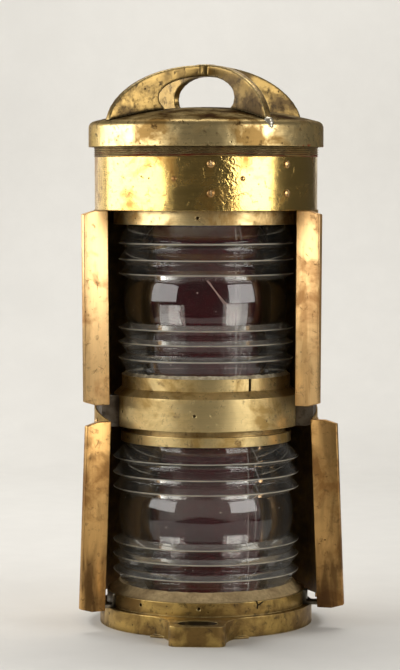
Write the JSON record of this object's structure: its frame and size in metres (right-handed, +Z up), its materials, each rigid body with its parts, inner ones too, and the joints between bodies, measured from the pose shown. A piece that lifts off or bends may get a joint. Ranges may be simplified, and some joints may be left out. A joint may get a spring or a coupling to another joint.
{
  "type": "ship lantern",
  "caption": "Ship navigation lantern with stacked glass belt lenses between a lugged foot and a screw cap with an arched handle, and curved screens behind the lenses.",
  "frame": {"origin": "on the lantern's axis, in the plane of the foot's underside, midway between the holding-down holes", "axes": "+Z up along the lantern's axis, -Y towards the front where the lenses show, +X to the viewer's right"},
  "size_m": [0.2587, 0.3, 0.5545],
  "materials": {
    "cast_brass": "aged, worn polish",
    "sheet_brass": "dull aged",
    "bronze_strip": "brushed, patinated",
    "tinned_brass": "dull tinned",
    "screw_bronze": "aged",
    "lens_glass": "clear pressed",
    "ruby_glass": "clear ruby",
    "bulb_glass": "clear thin",
    "seal_rubber": "matt",
    "lead_rubber": "matt",
    "porcelain": "glazed",
    "board_phenolic": "satin",
    "lens_putty": "old crumbling putty"
  },
  "bodies": {
    "lantern_body": {"foot_casting": "cast_brass", "lower_lens_bottom_seal": "seal_rubber", "lower_lens": "lens_glass", "lower_putty": "lens_putty", "lower_lens_top_seal": "seal_rubber", "lower_clamp_ring": "cast_brass", "middle_band": "cast_brass", "upper_clamp_ring": "cast_brass", "upper_lens_bottom_seal": "seal_rubber", "upper_lens": "lens_glass", "upper_putty": "lens_putty", "upper_lens_top_seal": "seal_rubber", "upper_lens_ring": "cast_brass", "collar": "cast_brass", "threaded_neck": "cast_brass", "upper_screen": "sheet_brass", "lower_screen": "sheet_brass", "upper_left_strip": "bronze_strip", "upper_right_strip": "bronze_strip", "lower_left_strip": "bronze_strip", "lower_right_strip": "bronze_strip", "screen_clips": "tinned_brass", "clip_screws": "screw_bronze", "foot_brackets": "tinned_brass", "bracket_screws": "screw_bronze", "collar_screws": "screw_bronze", "collar_rivets": "screw_bronze", "ring_screws": "screw_bronze", "backing_plate": "sheet_brass", "terminal_board": "board_phenolic", "terminal_screws": "screw_bronze", "gland_body": "cast_brass", "gland_seal": "seal_rubber", "gland_nut": "cast_brass", "lamp_deck": "sheet_brass", "deck_screws": "screw_bronze", "pedestal_screws": "screw_bronze", "lower_filter_seat": "cast_brass", "lower_filter": "ruby_glass", "lower_pedestal": "cast_brass", "lower_lamp_holder": "porcelain", "lower_lamp_cap": "sheet_brass", "lower_bulb": "bulb_glass", "upper_filter_seat": "cast_brass", "upper_filter": "ruby_glass", "upper_pedestal": "cast_brass", "upper_lamp_holder": "porcelain", "upper_lamp_cap": "sheet_brass", "upper_bulb": "bulb_glass", "upper_lead": "lead_rubber", "lower_lead": "lead_rubber"},
    "sealing_ring": {"cap_seal": "seal_rubber"},
    "screw_cap": {"cap": "cast_brass", "handle": "cast_brass"}
  },
  "joints": [
    {"name": "cap_rise", "type": "slide", "parent": "lantern_body", "child": "sealing_ring", "axis": [0, 0, 1], "range_m": [0, 0.0131]},
    {"name": "cap_turn", "type": "hinge", "parent": "sealing_ring", "child": "screw_cap", "pos_m": [0, 0, 0.48], "axis": [0, 0, 1], "range_deg": [0, 2340]}
  ],
  "couplings": [
    {"joint": "cap_rise", "follows": "cap_turn", "m_per_rad": 0.00031831}
  ]
}
